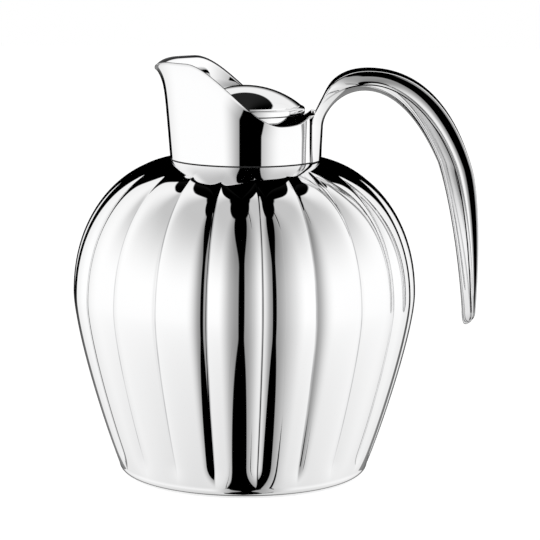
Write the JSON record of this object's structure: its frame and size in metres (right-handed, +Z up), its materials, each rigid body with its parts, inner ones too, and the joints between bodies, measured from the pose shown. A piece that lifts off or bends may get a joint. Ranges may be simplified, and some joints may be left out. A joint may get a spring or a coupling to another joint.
{
  "type": "insulated water pitcher",
  "caption": "Mirror-polished insulated pitcher with a lobed round body, cylindrical neck with pouring lip, open loop handle and lift-out stopper with a domed press button.",
  "frame": {"origin": "centre of the rest plane under the foot pad, on the axis of body and neck", "axes": "+Z up along the axis of body and neck, +X towards the handle, -X towards the spout; the object is mirrored across the XZ plane"},
  "size_m": [0.1982, 0.168, 0.2032],
  "materials": {
    "polished_steel": "mirror polished",
    "plain_steel": "satin",
    "screw_steel": "bright",
    "dark_plastic": "fine moulded",
    "black_rubber": "matte",
    "grey_foam_rubber": "matte",
    "silicone": "matte"
  },
  "bodies": {
    "jug": {"outer_shell": "polished_steel", "shell_ring": "plain_steel", "base_plate": "dark_plastic", "base_screws": "screw_steel", "foot_pad": "black_rubber", "flask_cushion": "grey_foam_rubber", "flask_outer_wall": "plain_steel", "flask_inner_wall": "plain_steel", "vacuum_seal_cap": "plain_steel", "joint_gasket": "black_rubber", "collar_clamp": "dark_plastic", "neck_collar": "polished_steel", "pouring_ring": "dark_plastic", "pouring_ring_seal": "silicone", "handle": "polished_steel"},
    "stopper": {"stopper_body": "dark_plastic", "stopper_sleeve": "polished_steel", "stopper_flange": "polished_steel", "stopper_seal": "silicone", "stem_seal": "black_rubber"},
    "button": {"press_dome": "polished_steel", "dome_carrier": "dark_plastic", "button_spring": "screw_steel", "valve_stem": "screw_steel", "valve_disc": "dark_plastic", "valve_seal": "silicone", "valve_nut": "screw_steel"}
  },
  "joints": [
    {"name": "stopper_lift", "type": "slide", "parent": "jug", "child": "stopper", "axis": [0, 0, 1], "range_m": [0, 0.062]},
    {"name": "button_press", "type": "slide", "parent": "stopper", "child": "button", "axis": [0, 0, 1], "range_m": [-0.004, 0], "stiffness_N_per_m": 900, "springref_m": 0.002, "deforming": ["button_spring"]}
  ]
}
